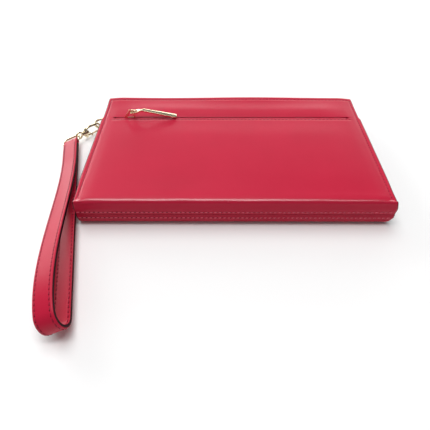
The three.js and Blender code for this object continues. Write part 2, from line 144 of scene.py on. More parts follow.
def addTube(verts, faces, points, radii, sides=14, closed=False, flatten=(1.0, 1.0), upHint=None):
    count = len(points)
    tangents = []
    for i in range(count):
        before = points[i - 1] if closed or i > 0 else points[i]
        after = points[(i + 1) % count] if closed or i < count - 1 else points[i]
        tangents.append((after - before).normalized())
    side = (upHint or Vector((0, 0, 1))).cross(tangents[0])
    if side.length < 1e-4:
        side = Vector((1, 0, 0)).cross(tangents[0])
    side.normalize()
    start = len(verts)
    for i, point in enumerate(points):
        side = (side - tangents[i] * side.dot(tangents[i])).normalized()
        up = tangents[i].cross(side)
        for k in range(sides):
            angle = 2 * math.pi * k / sides
            across = side * (math.cos(angle) * flatten[0])
            verts.append(point + (across + up * (math.sin(angle) * flatten[1])) * radii[i])
    rings = count if closed else count - 1
    for i in range(rings):
        for k in range(sides):
            a = start + i * sides + k
            b = start + i * sides + (k + 1) % sides
            c = start + ((i + 1) % count) * sides + (k + 1) % sides
            d = start + ((i + 1) % count) * sides + k
            faces.append((a, b, c, d))
    if not closed:
        faces.append(tuple(start + k for k in range(sides))[::-1])
        faces.append(tuple(start + (count - 1) * sides + k for k in range(sides)))


def addLathe(verts, faces, profile, origin, axis, radial, sides=40):
    other = axis.cross(radial)
    rows = []
    for radius, along in profile:
        if radius < 1e-7:
            rows.append([len(verts)])
            verts.append(origin + axis * along)
            continue
        row = []
        for k in range(sides):
            angle = 2 * math.pi * k / sides
            row.append(len(verts))
            spoke = radial * math.cos(angle) + other * math.sin(angle)
            verts.append(origin + axis * along + spoke * radius)
        rows.append(row)
    for lower, upper in zip(rows, rows[1:]):
        for k in range(sides):
            ring = [lower[k % len(lower)], lower[(k + 1) % len(lower)]]
            ring += [upper[(k + 1) % len(upper)], upper[k % len(upper)]]
            unique = list(dict.fromkeys(ring))
            if len(unique) > 2:
                faces.append(tuple(unique))


def bezier(a, b, c, d, t):
    s = 1 - t
    return a * (s ** 3) + b * (3 * s * s * t) + c * (3 * s * t * t) + d * (t ** 3)


# Finishes

def shaderGroup(name, inputs, outputs):
    tree = bpy.data.node_groups.new(name, "ShaderNodeTree")
    for label, kind, value in inputs:
        socket = tree.interface.new_socket(name=label, in_out="INPUT", socket_type=kind)
        socket.default_value = value
    for label, kind in outputs:
        tree.interface.new_socket(name=label, in_out="OUTPUT", socket_type=kind)
    start = tree.nodes.new("NodeGroupInput")
    end = tree.nodes.new("NodeGroupOutput")
    return tree, start.outputs, end.inputs


def mathNode(tree, operation, first, second, clamp=False):
    node = tree.nodes.new("ShaderNodeMath")
    node.operation = operation
    node.use_clamp = clamp
    for socket, value in zip(node.inputs, (first, second)):
        if isinstance(value, (int, float)):
            socket.default_value = value
        else:
            tree.links.new(value, socket)
    return node.outputs[0]


def mixColors(tree, factor, first, second):
    node = tree.nodes.new("ShaderNodeMix")
    node.data_type = "RGBA"
    for socket, value in ((node.inputs["Factor"], factor), (node.inputs[6], first), (node.inputs[7], second)):
        if isinstance(value, (int, float, tuple)):
            socket.default_value = value
        else:
            tree.links.new(value, socket)
    return node.outputs[2]


leatherGrain = {
    "pebbleSmoothness": 0.6,
    "pebbleHeight": -0.6,
    "pebbleShade": 0.16,
    "creaseScale": 420,
    "creaseDetail": 4,
    "creaseHeight": 0.7,
    "creaseGloss": 0.16,
    "cloudScale": 38,
    "cloudDetail": 3,
    "cloudFloor": 0.42,
    "cloudShade": 3.0,
}


def subtractAndScale(tree, value, floor, scale):
    return mathNode(tree, "MULTIPLY", mathNode(tree, "SUBTRACT", value, floor), scale)


def makeLeatherGroup():
    tree, start, end = shaderGroup(
        "leather surface",
        [("Color", "NodeSocketColor", (0.6, 0.05, 0.1, 1)),
         ("Shade", "NodeSocketColor", (0.4, 0.02, 0.05, 1)),
         ("Pebble Size", "NodeSocketFloat", 0.0006), ("Gloss", "NodeSocketFloat", 0.4),
         ("Mottle", "NodeSocketFloat", 0.4)],
        [("Color", "NodeSocketColor"), ("Roughness", "NodeSocketFloat"), ("Height", "NodeSocketFloat")],
    )
    links = tree.links
    place = tree.nodes.new("ShaderNodeTexCoord").outputs["Object"]
    pebbleScale = mathNode(tree, "DIVIDE", 1.0, start["Pebble Size"])
    pebbles = tree.nodes.new("ShaderNodeTexVoronoi")
    pebbles.feature = "SMOOTH_F1"
    pebbles.inputs["Smoothness"].default_value = leatherGrain["pebbleSmoothness"]
    links.new(place, pebbles.inputs["Vector"])
    links.new(pebbleScale, pebbles.inputs["Scale"])
    creases = tree.nodes.new("ShaderNodeTexNoise")
    creases.inputs["Scale"].default_value = leatherGrain["creaseScale"]
    creases.inputs["Detail"].default_value = leatherGrain["creaseDetail"]
    links.new(place, creases.inputs["Vector"])
    cloud = tree.nodes.new("ShaderNodeTexNoise")
    cloud.inputs["Scale"].default_value = leatherGrain["cloudScale"]
    cloud.inputs["Detail"].default_value = leatherGrain["cloudDetail"]
    links.new(place, cloud.inputs["Vector"])
    pebbleHeight = mathNode(tree, "MULTIPLY", pebbles.outputs["Distance"], leatherGrain["pebbleHeight"])
    creaseHeight = mathNode(tree, "MULTIPLY", creases.outputs["Fac"], leatherGrain["creaseHeight"])
    links.new(mathNode(tree, "ADD", pebbleHeight, creaseHeight), end["Height"])
    # The shade colour is mixed in where the cloud noise is high, a random tone, and in the grooves between
    # pebbles, which is painted shade.
    cloudy = subtractAndScale(tree, cloud.outputs["Fac"], leatherGrain["cloudFloor"], start["Mottle"])
    cloudShade = mathNode(tree, "MULTIPLY", cloudy, leatherGrain["cloudShade"])
    pits = mathNode(tree, "MULTIPLY", pebbles.outputs["Distance"], leatherGrain["pebbleShade"])
    shadeAmount = mathNode(tree, "ADD", cloudShade, pits, clamp=True)
    links.new(mixColors(tree, shadeAmount, start["Color"], start["Shade"]), end["Color"])
    uneven = subtractAndScale(tree, creases.outputs["Fac"], 0.5, leatherGrain["creaseGloss"])
    links.new(mathNode(tree, "ADD", start["Gloss"], uneven, clamp=True), end["Roughness"])
    return tree


def makeWeaveGroup():
    tree, start, end = shaderGroup(
        "plain weave",
        [("Color", "NodeSocketColor", (0.2, 0.02, 0.04, 1)),
         ("Gap Shade Color", "NodeSocketColor", (0.05, 0.01, 0.01, 1)),
         ("Thread Size", "NodeSocketFloat", 0.0005)],
        [("Color", "NodeSocketColor"), ("Height", "NodeSocketFloat")],
    )
    place = tree.nodes.new("ShaderNodeTexCoord").outputs["Object"]
    scale = mathNode(tree, "DIVIDE", 0.16, start["Thread Size"])
    heights = []
    for direction in ("X", "Y"):
        threads = tree.nodes.new("ShaderNodeTexWave")
        threads.bands_direction = direction
        threads.inputs["Distortion"].default_value = 0.4
        tree.links.new(place, threads.inputs["Vector"])
        tree.links.new(scale, threads.inputs["Scale"])
        heights.append(threads.outputs["Fac"])
    height = mathNode(tree, "MULTIPLY", heights[0], heights[1])
    tree.links.new(height, end["Height"])
    # Low places between the threads are mixed towards the gap colour: painted shade between the threads.
    tree.links.new(mixColors(tree, height, start["Gap Shade Color"], start["Color"]), end["Color"])
    return tree


def makeScuffGroup():
    tree, start, end = shaderGroup(
        "handling marks",
        [("Base Roughness", "NodeSocketFloat", 0.2), ("Amount", "NodeSocketFloat", 0.1)],
        [("Roughness", "NodeSocketFloat"), ("Height", "NodeSocketFloat")],
    )
    place = tree.nodes.new("ShaderNodeTexCoord").outputs["Object"]
    stretch = tree.nodes.new("ShaderNodeMapping")
    stretch.inputs["Scale"].default_value = (260, 900, 900)
    tree.links.new(place, stretch.inputs["Vector"])
    marks = tree.nodes.new("ShaderNodeTexNoise")
    marks.inputs["Scale"].default_value = 1.0
    marks.inputs["Detail"].default_value = 3
    tree.links.new(stretch.outputs["Vector"], marks.inputs["Vector"])
    spread = subtractAndScale(tree, marks.outputs["Fac"], 0.45, start["Amount"])
    roughness = mathNode(tree, "ADD", start["Base Roughness"], spread, clamp=True)
    tree.links.new(roughness, end["Roughness"])
    tree.links.new(marks.outputs["Fac"], end["Height"])
    return tree


leatherSurface = makeLeatherGroup()
plainWeave = makeWeaveGroup()
handlingMarks = makeScuffGroup()


def newMaterial(name, group, values, bumpDistance, shaderValues, bumpStrength=0.5):
    material = bpy.data.materials.new(name)
    material.use_nodes = True
    tree = material.node_tree
    shader = tree.nodes["Principled BSDF"]
    surface = tree.nodes.new("ShaderNodeGroup")
    surface.node_tree = group
    for label, value in values.items():
        surface.inputs[label].default_value = value
    for label, target in (("Color", "Base Color"), ("Roughness", "Roughness")):
        if label in surface.outputs:
            tree.links.new(surface.outputs[label], shader.inputs[target])
    relief = tree.nodes.new("ShaderNodeBump")
    relief.inputs["Distance"].default_value = bumpDistance
    relief.inputs["Strength"].default_value = bumpStrength
    tree.links.new(surface.outputs["Height"], relief.inputs["Height"])
    tree.links.new(relief.outputs["Normal"], shader.inputs["Normal"])
    for label, value in shaderValues.items():
        shader.inputs[label].default_value = value
    return material


leatherColors = {
    "cherry": (0.51, 0.011, 0.043, 1),
    "cherryShade": (0.41, 0.007, 0.030, 1),
    "inner": (0.43, 0.009, 0.038, 1),
    "innerShade": (0.33, 0.006, 0.026, 1),
    "edgePaint": (0.022, 0.003, 0.006, 1),
    "edgePaintShade": (0.012, 0.002, 0.004, 1),
    # The two thread colours are one thread in two lights: the first is a little lighter than the leather and
    # brightened further with painted sheen, the second is darkened with painted shade.
    "thread": (0.85, 0.20, 0.28, 1),
    "threadShade": (0.70, 0.12, 0.18, 1),
    "shadedThread": (0.30, 0.010, 0.035, 1),
    "shadedThreadShade": (0.20, 0.006, 0.022, 1),
}


def leatherMaterial(name, color, shade, gloss, pebble=0.55 * mm, depth=0.02 * mm, shine=0.16):
    return newMaterial(
        name, leatherSurface,
        {"Color": leatherColors[color], "Shade": leatherColors[shade], "Gloss": gloss, "Pebble Size": pebble,
         "Mottle": 0.25},
        depth, {"Specular IOR Level": shine},
    )


cherryLeather = leatherMaterial("cherry leather", "cherry", "cherryShade", 0.36)
innerLeather = leatherMaterial("inside leather", "inner", "innerShade", 0.42)
creaseLeather = leatherMaterial("burnished crease leather", "cherry", "cherryShade", 0.24, shine=0.8)
edgePaint = leatherMaterial("painted edge", "edgePaint", "edgePaintShade", 0.45, pebble=0.3 * mm, shine=0.05)
# One thread as two finishes: the first carries painted sheen, the second painted shade.
threadWithPaintedSheen = leatherMaterial(
    "polyester thread with painted sheen", "thread", "threadShade", 0.5, pebble=0.2 * mm, depth=0.03 * mm)
threadInPaintedShade = leatherMaterial(
    "thread with painted shade", "shadedThread", "shadedThreadShade", 0.5, pebble=0.2 * mm, depth=0.03 * mm)
liningCloth = newMaterial(
    "pocket lining cloth", plainWeave,
    {"Color": (0.05, 0.03, 0.036, 1), "Gap Shade Color": (0.012, 0.008, 0.01, 1), "Thread Size": 0.35 * mm},
    0.05 * mm, {"Roughness": 0.85, "Sheen Weight": 0.3},
)
zipTapeCloth = newMaterial(
    "zip tape cloth", plainWeave,
    {"Color": (0.42, 0.02, 0.06, 1), "Gap Shade Color": (0.16, 0.008, 0.02, 1), "Thread Size": 0.5 * mm},
    0.08 * mm, {"Roughness": 0.8, "Sheen Weight": 0.3},
)
backingBoard = newMaterial(
    "backing board", leatherSurface,
    {"Color": (0.30, 0.22, 0.15, 1), "Shade": (0.2, 0.14, 0.09, 1), "Gloss": 0.9, "Pebble Size": 0.4 * mm},
    0.03 * mm, {"Specular IOR Level": 0.2},
)
paleGold = newMaterial(
    "pale gold plate", handlingMarks, {"Base Roughness": 0.17, "Amount": 0.12},
    0.004 * mm, {"Base Color": (0.80, 0.68, 0.47, 1), "Metallic": 1.0}, bumpStrength=0.15,
)
zipMetal = newMaterial(
    "zip metal", handlingMarks, {"Base Roughness": 0.3, "Amount": 0.2},
    0.01 * mm, {"Base Color": (0.72, 0.58, 0.36, 1), "Metallic": 1.0}, bumpStrength=0.3,
)
# Near-black finish for discs that stand in for the shade inside needle holes and slit ends: painted shade.
needleHoleShade = leatherMaterial("needle hole shade", "edgePaint", "edgePaintShade", 0.7, shine=0.02)
zipCoil = newMaterial(
    "nylon zip coil", handlingMarks, {"Base Roughness": 0.4, "Amount": 0.2},
    0.01 * mm, {"Base Color": (0.45, 0.015, 0.045, 1)}, bumpStrength=0.3,
)
print("finishes ready")


# Geometry Nodes: the helpers, and the tree that sews stitches along a line

def geometryTree(name, numbers, materialLabel):
    tree = bpy.data.node_groups.new(name, "GeometryNodeTree")
    add = tree.interface.new_socket
    add(name="Geometry", in_out="INPUT", socket_type="NodeSocketGeometry")
    for label, value in numbers:
        socket = add(name=label, in_out="INPUT", socket_type="NodeSocketFloat")
        socket.default_value = value
    add(name=materialLabel, in_out="INPUT", socket_type="NodeSocketMaterial")
    add(name="Geometry", in_out="OUTPUT", socket_type="NodeSocketGeometry")
    start = tree.nodes.new("NodeGroupInput").outputs
    end = tree.nodes.new("NodeGroupOutput").inputs
    return tree, start, end


def applyTree(piece, tree, values):
    modifier = piece.modifiers.new("nodes", "NODES")
    modifier.node_group = tree
    for item in tree.interface.items_tree:
        if item.in_out == "INPUT" and item.name in values:
            modifier[item.identifier] = values[item.name]
    settle(piece)


def makeStitchTree():
    sizes = (("Pitch", 2.7 * mm), ("Shift", 0.0), ("Length", 2.2 * mm), ("Width", 0.5 * mm),
             ("Height", 0.4 * mm), ("Slant", 0.0))
    tree, start, end = geometryTree("sewn line", sizes, "Thread")
    make = tree.nodes.new
    link = tree.links.new
    line = make("GeometryNodeMeshToCurve")
    link(start["Geometry"], line.inputs[0])
    trimmed = make("GeometryNodeTrimCurve")
    trimmed.mode = "LENGTH"
    link(line.outputs[0], trimmed.inputs["Curve"])
    link(start["Shift"], trimmed.inputs[4])
    trimmed.inputs[5].default_value = 100.0
    spaced = make("GeometryNodeResampleCurve")
    spaced.mode = "LENGTH"
    link(trimmed.outputs[0], spaced.inputs["Curve"])
    link(start["Pitch"], spaced.inputs["Length"])
    tangent = make("GeometryNodeInputTangent")
    aligned = make("FunctionNodeAlignEulerToVector")
    aligned.axis = "X"
    link(tangent.outputs[0], aligned.inputs["Vector"])
    slanted = make("FunctionNodeRotateEuler")
    slanted.space = "LOCAL"
    slantVector = make("ShaderNodeCombineXYZ")
    link(start["Slant"], slantVector.inputs[2])
    link(aligned.outputs[0], slanted.inputs["Rotation"])
    link(slantVector.outputs[0], slanted.inputs["Rotate By"])
    bead = make("GeometryNodeMeshUVSphere")
    bead.inputs["Segments"].default_value = 8
    bead.inputs["Rings"].default_value = 5
    bead.inputs["Radius"].default_value = 0.5
    size = make("ShaderNodeCombineXYZ")
    for index, label in enumerate(("Length", "Width", "Height")):
        link(start[label], size.inputs[index])
    place = make("GeometryNodeInstanceOnPoints")
    link(spaced.outputs[0], place.inputs["Points"])
    link(bead.outputs["Mesh"], place.inputs["Instance"])
    link(slanted.outputs[0], place.inputs["Rotation"])
    link(size.outputs[0], place.inputs["Scale"])
    solid = make("GeometryNodeRealizeInstances")
    link(place.outputs[0], solid.inputs[0])
    smooth = make("GeometryNodeSetShadeSmooth")
    link(solid.outputs[0], smooth.inputs[0])
    paint = make("GeometryNodeSetMaterial")
    link(smooth.outputs[0], paint.inputs["Geometry"])
    link(start["Thread"], paint.inputs["Material"])
    link(paint.outputs[0], end["Geometry"])
    return tree


sewnLine = makeStitchTree()
stitching = {
    "pitch": 2.7 * mm,
    "length": 2.1 * mm,
    "width": 0.62 * mm,
    "height": 0.5 * mm,
    "holeSize": 0.85 * mm,
    "holeHeight": 0.2 * mm,
    "slant": math.radians(5),
}


def lineObject(name, lines):
    verts = []
    edges = []
    for line in lines:
        start = len(verts)
        verts += [tuple(p) for p in line]
        edges += [(start + i, start + i + 1) for i in range(len(line) - 1)]
    mesh = bpy.data.meshes.new(name)
    mesh.from_pydata(verts, edges, [])
    piece = bpy.data.objects.new(name, mesh)
    scene.collection.objects.link(piece)
    return piece


def sew(name, lines, body, threadFinish=threadWithPaintedSheen):
    pitch = stitching["pitch"]
    thread = lineObject(name, lines)
    applyTree(thread, sewnLine, {
        "Pitch": pitch, "Length": stitching["length"], "Width": stitching["width"],
        "Height": stitching["height"], "Slant": stitching["slant"], "Thread": threadFinish,
    })
    # Dark discs between the stitches: painted shade in the needle holes.
    holes = lineObject(name + "_holes", lines)
    applyTree(holes, sewnLine, {
        "Pitch": pitch, "Shift": pitch / 2, "Length": stitching["holeSize"], "Width": stitching["holeSize"],
        "Height": stitching["holeHeight"], "Thread": needleHoleShade,
    })
    for piece in (thread, holes):
        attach(piece, body)


# Cover: one leather skin from the spine's middle seam, over the top crease, to the opening edge

walletSize = {
    "halfWidth": 95 * mm,
    "thickness": 1.1 * mm,
    "cornerRadius": 2.2 * mm,
    "edgeRound": 1.3 * mm,
    "stitchInset": 2.4 * mm,
    "spineSeam": 8.2 * mm,
    "spineBulge": 0.5 * mm,
    "sideBulge": 1.9 * mm,
    "leftBulgeShare": 0.2,  # the strap passes close by on the left
    "sideRamp": 60 * mm,  # how far from the middle the side bulge starts
}
foldY = joints["cover_fold"]["pos_m"][1]
upperFoldZ = joints["cover_fold"]["pos_m"][2]
spineY = foldY - walletSize["thickness"]
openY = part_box("back_leather")[1][1]
coverTilt = math.asin(joints["pull_flip"]["axis"][2])
coverLength = (openY - foldY) / math.cos(coverTilt)
alongCover = Vector((0, math.cos(coverTilt), -math.sin(coverTilt)))
outOfCover = Vector((0, math.sin(coverTilt), math.cos(coverTilt)))
coverOrigin = Vector((0, foldY, upperFoldZ))
slotCentre = (Vector(joints["pull_flip"]["pos_m"]) - coverOrigin).dot(alongCover)

cover = {
    "creaseRadius": 2.4 * mm,
    "wallDepth": 6.0 * mm,
    "foldWallDepth": 1.6 * mm,
    "sideFall": 0.9 * mm,
    "sideFallWidth": 15 * mm,
    "farFall": -0.6 * mm,
    "pocketPuff": 0.6 * mm,
    "bandPuff": 0.9 * mm,
    "farWave": 0.35 * mm,
    "ridge": 0.25 * mm,
    "slotHalfLength": 86.5 * mm,
    "slotHalfWidth": 0.45 * mm,
    "slotRow": 2.3 * mm,
    "stitchDip": 0.28 * mm,
    "lipDip": 0.2 * mm,
    "farOverhang": 1.2 * mm,
    "pocketWiden": 0.8 * mm,
    "cornerFall": 0.5 * mm,
}


def coverPoint(x, along, out):
    return coverOrigin + Vector((x, 0, 0)) + alongCover * along + outOfCover * out


def coverRise(x, along):
    side = walletSize["halfWidth"] - abs(x)
    far = coverLength - along
    rise = walletSize["thickness"]
    rise -= cover["sideFall"] * (1 - smoothStep(0, cover["sideFallWidth"], side)) ** 2
    rise -= cover["farFall"] * (1 - smoothStep(0, 20 * mm, far)) ** 2
    middle = smoothStep(2 * mm, 30 * mm, side)
    rise += cover["pocketPuff"] * middle * smoothStep(0, 26 * mm, along) * (
        1 - smoothStep(slotCentre - 24 * mm, slotCentre - 3 * mm, along))
    rise += cover["bandPuff"] * middle * bump(slotCentre + 10 * mm, 8 * mm, along)
    rise += cover["ridge"] * bump(3.4 * mm, 1.8 * mm, along)
    rise -= cover["cornerFall"] * (1 - smoothStep(0, 6 * mm, side)) * (1 - smoothStep(0, 9 * mm, along))
    rise += cover["farWave"] * math.sin(x * 48 + 0.8) * (1 - smoothStep(0, 16 * mm, far))
    inset = min(side, far)
    rise -= cover["stitchDip"] * bump(walletSize["stitchInset"], 0.5 * mm, inset)
    if abs(x) < cover["slotHalfLength"] + 1 * mm:
        rise -= cover["stitchDip"] * bump(slotCentre - cover["slotRow"], 0.5 * mm, along)
        rise -= cover["lipDip"] * bump(slotCentre, 0.8 * mm, along)
    return rise


def sideBulge(sign, height, fromSpine):
    reach = walletSize["sideBulge"] * (1.0 if sign > 0 else walletSize["leftBulgeShare"])
    level = height / (upperFoldZ + walletSize["thickness"])
    profile = smoothStep(0, 0.35, level) * (1 - 0.6 * smoothStep(0.65, 1.0, level))
    return sign * reach * profile * (1 - smoothStep(0, 20 * mm, fromSpine))


def nearSide(sideInset):
    half = walletSize["halfWidth"]
    return smoothStep(walletSize["sideRamp"], half, half - sideInset)


def roundCorner(sideInset, farInset):
    radius = walletSize["cornerRadius"]
    if sideInset >= radius or farInset >= radius:
        return sideInset, farInset
    p = 1 - sideInset / radius
    q = 1 - farInset / radius
    return (radius * (1 - p * math.sqrt(1 - q * q / 2)), radius * (1 - q * math.sqrt(1 - p * p / 2)))


def edgeSteps(wallDepth):
    edge = walletSize["edgeRound"]
    steps = [(0.0, edge + (wallDepth - edge) * k / 3) for k in (3, 2, 1)]
    for k in (4, 3, 2, 1, 0):
        angle = math.pi / 2 * k / 4
        steps.append((edge * (1 - math.sin(angle)), edge * (1 - math.cos(angle))))
    return steps


def plainInsets(limit, step):
    insets = [inset * mm for inset in (1.5, 1.9, 2.4, 2.9, 3.5, 4.6, 6, 8, 10.5, 13.5)]  # densest at stitches
    position = insets[-1] + step
    while position < limit - step / 2:
        insets.append(position)
        position += step
    return insets


def skinColumns(wallDepth, extra=()):
    half = walletSize["halfWidth"]
    inner = sorted(set(plainInsets(half, 3 * mm) + [half - x for x in extra]))
    left = [(-1, inset, drop) for inset, drop in edgeSteps(wallDepth)]
    left += [(-1, inset, 0.0) for inset in inner]
    return left + [(0, half, 0.0)] + [(1, inset, drop) for _, inset, drop in left[::-1]]


def skinPiece(name, rows, columns, surface, gap=None):
    verts = []
    faces = []
    faceMaterials = []
    for row in rows:
        for sign, sideInset, sideDrop in columns:
            verts.append(surface(sign, sideInset, sideDrop, row))
    width = len(columns)
    paintFrom = walletSize["edgeRound"] * 0.2
    for i in range(len(rows) - 1):
        for j in range(width - 1):
            if gap and gap(rows[i], rows[i + 1], columns[j], columns[j + 1]):
                continue
            a = i * width + j
            faces.append((a, a + 1, a + 1 + width, a + width))
            drops = [columns[j][2], columns[j + 1][2], rows[i][2], rows[i + 1][2]]
            crease = rows[i][0] == "crease" and rows[i + 1][0] == "crease" and rows[i][1] > 0.6
            faceMaterials.append(1 if max(drops) > paintFrom else 2 if crease else 0)
    return makePiece(name, verts, faces, [cherryLeather, edgePaint, creaseLeather], faceMaterials)


def finishSkin(piece, outerSide):
    work = bmesh.new()
    work.from_mesh(piece.data)
    bmesh.ops.remove_doubles(work, verts=work.verts, dist=0.01 * mm)
    bmesh.ops.dissolve_degenerate(work, edges=work.edges, dist=0.01 * mm)
    bmesh.ops.recalc_face_normals(work, faces=work.faces)
    largest = max(work.faces, key=lambda f: f.calc_area())
    if largest.normal.z * outerSide < 0:
        bmesh.ops.reverse_faces(work, faces=work.faces)
    work.to_mesh(piece.data)
    work.free()
    wall = piece.modifiers.new("leather thickness", "SOLIDIFY")
    wall.thickness = walletSize["thickness"] * 0.92
    wall.offset = -1
    wall.use_rim = True
    settle(piece)
    shadeSmooth(piece, 50)


def makeCover():
    radius = cover["creaseRadius"]
    seamZ = walletSize["spineSeam"] + 0.12 * mm
    creaseZ = upperFoldZ + walletSize["thickness"] - radius
    foldWall = cover["foldWallDepth"]
    rows = []  # (kind, position, drop); a crease position is an angle, the others are lengths
    for k in range(9):
        rows.append(("spine", seamZ + (creaseZ - seamZ) * k / 8, 0.0))
    for k in range(1, 9):
        rows.append(("crease", math.pi / 2 * k / 8, 0.0))
    alongs = []
    position = radius - walletSize["thickness"] + 1.5 * mm
    while position < slotCentre - cover["slotRow"] - 2 * mm:
        alongs.append(position)
        position += 2.6 * mm
    row = cover["slotRow"]
    half = cover["slotHalfWidth"]
    for offset in (-row - 0.9 * mm, -row - 0.4 * mm, -row, -row + 0.4 * mm, -row + 0.9 * mm,
                   -1.0 * mm, -half, half, 1.0 * mm, 1.3 * mm, 2.0 * mm, 3.0 * mm, 4.4 * mm):
        alongs.append(slotCentre + offset)
    farInsets = plainInsets(coverLength - slotCentre - 6 * mm, 2.6 * mm)[::-1]
    rows += [("cover", along, 0.0) for along in alongs]
    rows += [("cover", coverLength - inset, 0.0) for inset in farInsets]
    rows += [("cover", coverLength - inset, drop) for inset, drop in edgeSteps(cover["wallDepth"])[::-1]]
    slotEnd = cover["slotHalfLength"]
    extra = [slotEnd - inset * mm for inset in (0, 0.25, 0.7, 1.2, 1.7, 2.4)]
    columns = skinColumns(cover["wallDepth"], extra)

    def surface(sign, sideInset, sideDrop, row):
        kind, position, rowDrop = row
        half = walletSize["halfWidth"]
        if kind == "cover":
            farInset = coverLength - position
            nearWall = smoothStep(1 * mm, 9 * mm, position)
            sideDrop = min(sideDrop, foldWall + (cover["wallDepth"] - foldWall) * nearWall)
            sideInset, farInset = roundCorner(sideInset, farInset)
            wide = cover["pocketWiden"] * (1 - smoothStep(slotCentre - 1 * mm, slotCentre + 3 * mm, position))
            wide *= smoothStep(6 * mm, 20 * mm, position) * nearSide(sideInset)
            x = sign * (half - sideInset + wide)
            x += sideBulge(sign, creaseZ + radius, position) * nearSide(sideInset)
            along = coverLength - farInset + cover["farOverhang"] * smoothStep(20 * mm, 0, farInset)
            if abs(abs(position - slotCentre) - cover["slotHalfWidth"]) < 1e-6:
                close = smoothStep(-0.5 * mm, 0.9 * mm, cover["slotHalfLength"] - abs(x))
                hole = bump(cover["slotHalfLength"] - 1.2 * mm, 0.9 * mm, abs(x))
                if abs(x) < cover["slotHalfLength"] + 0.1 * mm:
                    along = slotCentre + (position - slotCentre) * (0.25 + 0.75 * close + hole)
            return coverPoint(x, along, coverRise(x, along) - max(sideDrop, rowDrop))
        height = position if kind == "spine" else creaseZ + radius * math.sin(position)
        x = sign * (half - sideInset) + sideBulge(sign, height, 0) * nearSide(sideInset)
        drop = min(sideDrop, foldWall)
        if kind == "spine":
            rise = smoothStep(0, 1, (position - seamZ) / (creaseZ - seamZ))
            bulge = walletSize["spineBulge"] * math.sin(math.pi * rise)
            return Vector((x, spineY - bulge + drop, position))
        centreY = spineY + radius
        toSide = half - abs(x)
        fall = cover["sideFall"] * (1 - smoothStep(0, cover["sideFallWidth"], toSide)) ** 2
        fall += cover["cornerFall"] * (1 - smoothStep(0, 6 * mm, toSide)) * smoothStep(0.4, 1.57, position)
        fall += 0.12 * mm * math.sin(x * 160) * math.sin(x * 67 + 1)
        reach = max(radius - drop - fall * smoothStep(0.6, 1.5, position), 0.25 * mm)
        return Vector((x, centreY - reach * math.cos(position), creaseZ + reach * math.sin(position)))

    def gap(rowA, rowB, columnA, columnB):
        if rowA[0] != "cover" or rowB[0] != "cover":
            return False
        inSlot = abs((rowA[1] + rowB[1]) / 2 - slotCentre) < 0.2 * mm
        half = walletSize["halfWidth"]
        outer = max(half - columnA[1], half - columnB[1])
        return inSlot and outer < cover["slotHalfLength"] + 1e-7

    piece = skinPiece("cover_leather_skin", rows, columns, surface, gap)
    finishSkin(piece, 1)
    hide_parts("front_leather", "spine_upper_leather")
    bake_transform(piece)


# Dark discs at both ends of the slit: painted shade in the gaps at the slit's ends.
def makeSlitEnds():
    verts = []
    faces = []
    for side in (-1, 1):
        x = side * (cover["slotHalfLength"] - 1.2 * mm)
        centre = coverPoint(x, slotCentre, walletSize["thickness"] * 0.55)
        disc = [(0, 0), (0.75 * mm, 0), (0.75 * mm, -0.2 * mm), (0, -0.2 * mm)]
        addLathe(verts, faces, disc, centre, outOfCover, alongCover, 24)
    piece = makePiece("slit_end_hole_shade", verts, faces, [needleHoleShade])
    tidyMesh(piece)
    shadeSmooth(piece)
    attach(piece, "front_half")


makeCover()
makeSlitEnds()


# Back: one skin from the spine's middle seam, round the lower corner, to the opening edge

back = {"cornerRadius": 3.4 * mm, "wallDepth": 3.0 * mm, "foldWallDepth": 1.4 * mm, "spineBulgeShare": 0.6}


def makeBack():
    radius = back["cornerRadius"]
    foldWall = back["foldWallDepth"]
    seamZ = walletSize["spineSeam"] - 0.12 * mm
    rows = []
    for k in range(7):
        rows.append(("spine", seamZ + (radius - seamZ) * k / 6, 0.0))
    for k in range(1, 9):
        rows.append(("corner", math.pi / 2 * k / 8, 0.0))
    position = spineY + radius + 2 * mm
    while position < openY - 16 * mm:
        rows.append(("back", position, 0.0))
        position += 4 * mm
    rows += [("back", openY - inset, 0.0) for inset in plainInsets(14 * mm, 3 * mm)[::-1]]
    rows += [("back", openY - inset, drop) for inset, drop in edgeSteps(back["wallDepth"])[::-1]]
    columns = skinColumns(back["wallDepth"])

    def surface(sign, sideInset, sideDrop, row):
        kind, position, rowDrop = row
        half = walletSize["halfWidth"]
        if kind == "back":
            sideInset, farInset = roundCorner(sideInset, openY - position)
            nearWall = smoothStep(1 * mm, 9 * mm, position - foldY)
            sideDrop = min(sideDrop, foldWall + (back["wallDepth"] - foldWall) * nearWall)
            return Vector((sign * (half - sideInset), openY - farInset, max(sideDrop, rowDrop)))
        height = position if kind == "spine" else radius * (1 - math.sin(position))
        x = sign * (half - sideInset) + sideBulge(sign, height, 0) * nearSide(sideInset)
        drop = min(sideDrop, foldWall)
        if kind == "spine":
            reach = walletSize["spineBulge"] * back["spineBulgeShare"]
            bulge = reach * math.sin(math.pi * (position - radius) / (seamZ - radius))
            return Vector((x, spineY - bulge + drop, position))
        reach = radius - drop
        return Vector((x, spineY + radius - reach * math.cos(position), radius - reach * math.sin(position)))

    piece = skinPiece("back_leather_skin", rows, columns, surface)
    finishSkin(piece, -1)
    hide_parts("back_leather", "spine_lower_leather")
    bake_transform(piece)


makeBack()
print("leather skins ready")


# Stitched rows on the wallet

sewnRows = {"upperSpineRow": 10.3 * mm, "lowerSpineRow": 5.6 * mm, "lift": 0.02 * mm}


def coverLine(points):
    return [coverPoint(x, along, coverRise(x, along) + sewnRows["lift"]) for x, along in points]


